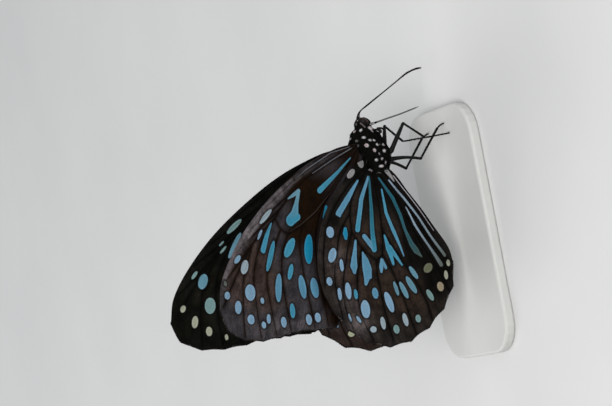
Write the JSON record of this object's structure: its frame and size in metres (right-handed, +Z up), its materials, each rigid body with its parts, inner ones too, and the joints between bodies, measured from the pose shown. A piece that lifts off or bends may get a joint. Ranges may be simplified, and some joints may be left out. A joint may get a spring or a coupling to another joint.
{
  "type": "blue tiger butterfly",
  "caption": "Life-size butterfly standing on a small plain base plate, wings closed upwards, feelers and tongue reaching down ahead.",
  "frame": {"origin": "centre of the base plate's underside", "axes": "+Z up out of the plate, +X the way the head points, +Y to the butterfly's left"},
  "size_m": [0.0542, 0.026, 0.0553],
  "materials": {
    "body_scales": "matt black scales with white spots",
    "wing_membrane": "dark brown scaled membrane with blue streaks and spots",
    "eye": "dark brown glossy facets",
    "leg_cuticle": "black satin cuticle",
    "base_plate": "pale matt plate"
  },
  "bodies": {
    "root": {"thorax": "body_scales", "abdomen": "body_scales", "head": "body_scales", "eye_left": "eye", "eye_right": "eye", "palp_left": "body_scales", "palp_right": "body_scales", "proboscis": "leg_cuticle", "antenna_left": "leg_cuticle", "antenna_right": "leg_cuticle", "forewing_left": "wing_membrane", "forewing_right": "wing_membrane", "hindwing_left": "wing_membrane", "hindwing_right": "wing_membrane", "leg_fore_left": "leg_cuticle", "leg_fore_right": "leg_cuticle", "leg_mid_left": "leg_cuticle", "leg_mid_right": "leg_cuticle", "leg_hind_left": "leg_cuticle", "leg_hind_right": "leg_cuticle", "stand_base": "base_plate"}
  },
  "joints": []
}
